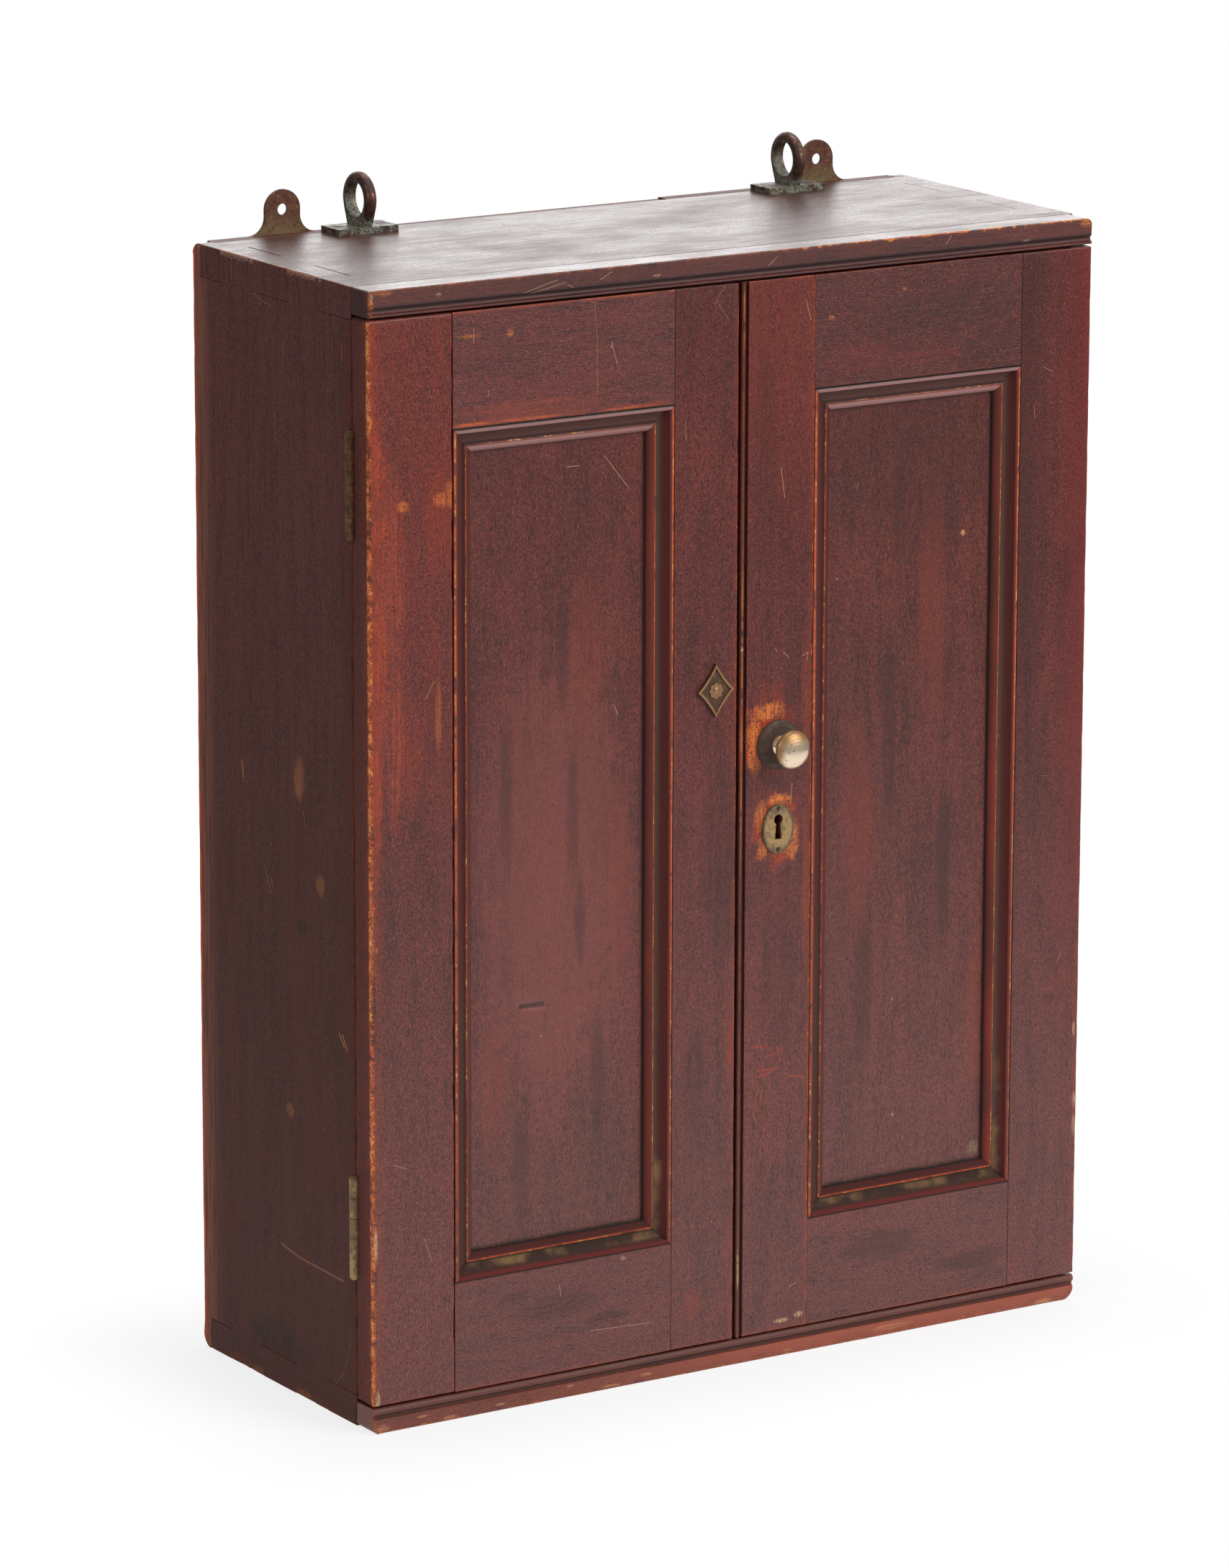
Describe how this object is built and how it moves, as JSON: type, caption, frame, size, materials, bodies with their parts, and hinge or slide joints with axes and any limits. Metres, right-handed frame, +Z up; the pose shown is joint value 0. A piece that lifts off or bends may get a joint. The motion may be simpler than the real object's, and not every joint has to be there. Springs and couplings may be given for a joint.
{
  "type": "cigar cabinet",
  "caption": "Wall cabinet with a dovetailed case, two panelled doors on butt hinges, shelves, a turning knob, a lock, inside bolts, and hanging and ring plates on top.",
  "frame": {"origin": "middle of the flat underside, half way between the front of the doors and the back", "axes": "+X to the right seen from the front, +Y to the back, +Z up"},
  "size_m": [0.528, 0.232, 0.737],
  "materials": {
    "case_wood": "very dark red-brown stain under old, worn varnish",
    "front_wood": "red-brown stain under crackled varnish, rubbed through to orange wood on the edges",
    "moulding_wood": "red-brown stain, dirt in the hollows, edges worn to orange wood",
    "panel_wood": "red-brown stain under crackled varnish",
    "inside_wood": "plain planed cedar, unvarnished",
    "dark_brass": "brown patina with grey-green verdigris in the corners",
    "worn_brass": "handled brass, rubbed bright over brown tarnish",
    "old_iron": "grey-brown iron with light rust"
  },
  "bodies": {
    "case": {"side_left": "case_wood", "side_right": "case_wood", "top_board": "case_wood", "bottom_board": "case_wood", "back_board_left": "case_wood", "back_board_middle": "case_wood", "back_board_right": "case_wood", "back_screws": "old_iron", "front_strip_top": "front_wood", "front_strip_bottom": "front_wood", "shelf_lower": "inside_wood", "shelf_middle": "inside_wood", "shelf_upper": "inside_wood", "hanging_plate_left": "dark_brass", "hanging_plate_right": "dark_brass", "ring_plate_left": "dark_brass", "ring_plate_right": "dark_brass", "plate_screws": "dark_brass", "case_leaf_left_upper": "dark_brass", "case_leaf_left_lower": "dark_brass", "case_leaf_right_upper": "dark_brass", "case_leaf_right_lower": "dark_brass", "hinge_pins": "dark_brass", "case_hinge_screws": "old_iron", "bolt_keepers": "dark_brass"},
    "left_door": {"left_hinge_stile": "front_wood", "left_meeting_stile": "front_wood", "left_top_rail": "front_wood", "left_bottom_rail": "front_wood", "left_panel": "panel_wood", "left_moulding": "moulding_wood", "left_leaf_upper": "dark_brass", "left_leaf_lower": "dark_brass", "left_door_screws": "old_iron", "ornament": "worn_brass", "upper_bolt_plate": "dark_brass", "lower_bolt_plate": "dark_brass", "lock_keeper": "dark_brass"},
    "right_door": {"right_hinge_stile": "front_wood", "right_meeting_stile": "front_wood", "right_top_rail": "front_wood", "right_bottom_rail": "front_wood", "right_panel": "panel_wood", "right_moulding": "moulding_wood", "right_leaf_upper": "dark_brass", "right_leaf_lower": "dark_brass", "right_door_screws": "old_iron", "knob_rose": "dark_brass", "escutcheon": "worn_brass", "front_pins": "worn_brass", "lock_case": "old_iron", "lock_cap": "old_iron", "lock_spring": "old_iron"},
    "knob": {"knob": "worn_brass", "turn_tongue": "dark_brass"},
    "lock_bolt": {"lock_bolt": "worn_brass"},
    "upper_bolt": {"upper_bolt": "worn_brass"},
    "lower_bolt": {"lower_bolt": "worn_brass"}
  },
  "joints": [
    {"name": "left_door_hinge", "type": "hinge", "parent": "case", "child": "left_door", "pos_m": [-0.2608, -0.08475, 0], "axis": [0, 0, -1], "range_deg": [0, 180]},
    {"name": "right_door_hinge", "type": "hinge", "parent": "case", "child": "right_door", "pos_m": [0.2608, -0.08475, 0], "axis": [0, 0, 1], "range_deg": [0, 180]},
    {"name": "knob_turn", "type": "hinge", "parent": "right_door", "child": "knob", "pos_m": [0.0292, -0.085, 0.3935], "axis": [0, -1, 0], "range_deg": [0, 90]},
    {"name": "lock_bolt_slide", "type": "slide", "parent": "right_door", "child": "lock_bolt", "axis": [-1, 0, 0], "range_m": [0, 0.006]},
    {"name": "upper_bolt_slide", "type": "slide", "parent": "left_door", "child": "upper_bolt", "axis": [0, 0, 1], "range_m": [0, 0.01]},
    {"name": "lower_bolt_slide", "type": "slide", "parent": "left_door", "child": "lower_bolt", "axis": [0, 0, -1], "range_m": [0, 0.01]}
  ]
}
